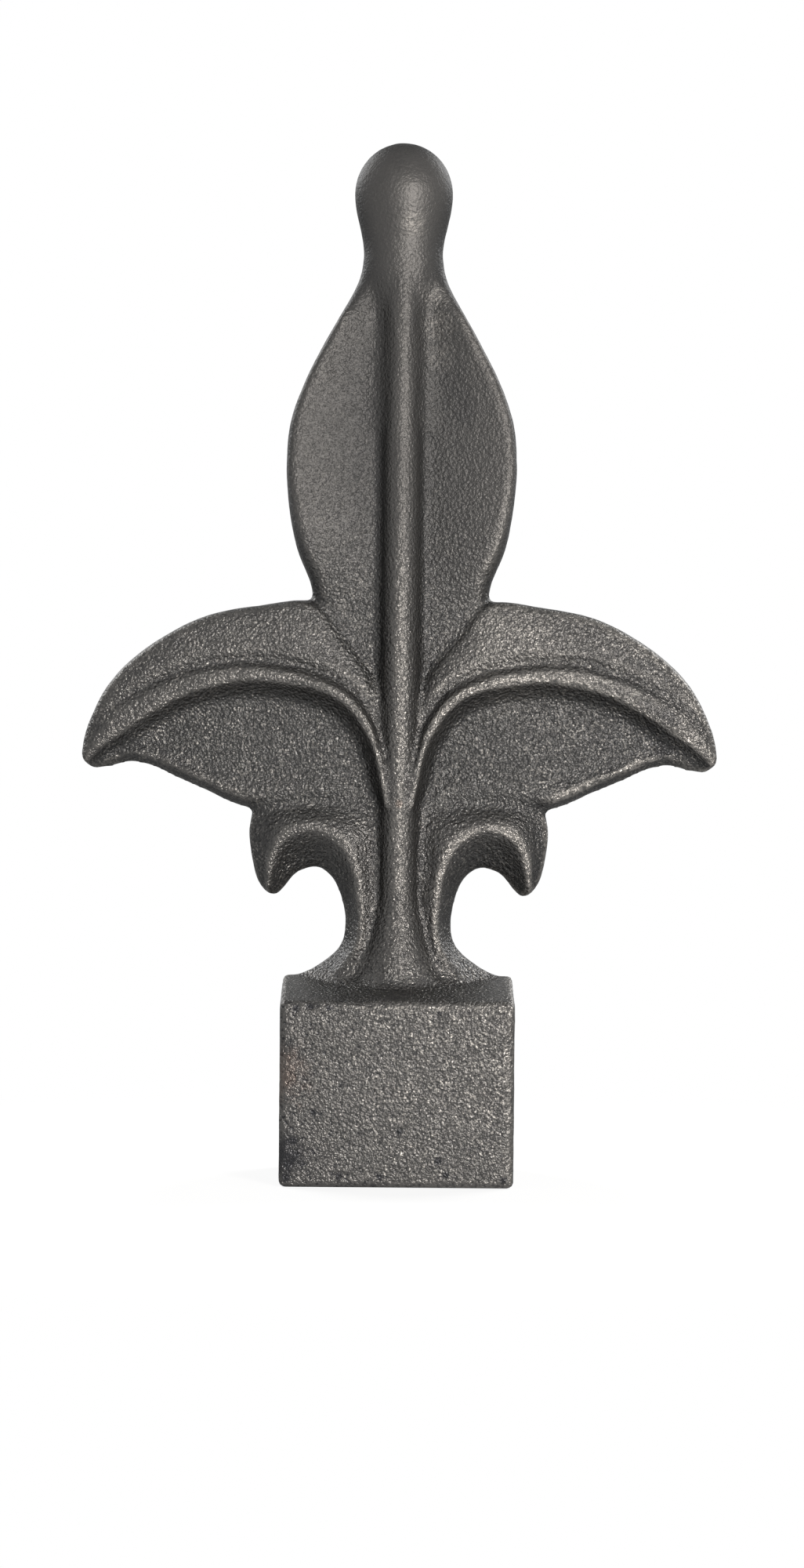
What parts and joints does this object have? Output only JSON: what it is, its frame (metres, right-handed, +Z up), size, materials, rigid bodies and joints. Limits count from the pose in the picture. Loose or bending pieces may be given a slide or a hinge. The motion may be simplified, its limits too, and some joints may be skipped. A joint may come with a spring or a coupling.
{
  "type": "fence finial",
  "caption": "Cast iron finial for a square fence picket: pointed centre leaf with a ball, two drooping side leaves and two scrolls on a square socket block.",
  "frame": {"origin": "middle of the foot of the square block, on the surface that it stands on", "axes": "+Z up to the ball, -Y out of the face that the picture shows, +X towards that face's right side; the casting's parting plane is Y = 0"},
  "size_m": [0.0908, 0.0328, 0.1477],
  "materials": {
    "iron": "bare grey iron, as cast in sand"
  },
  "bodies": {
    "root": {"finial": "iron"}
  },
  "joints": []
}
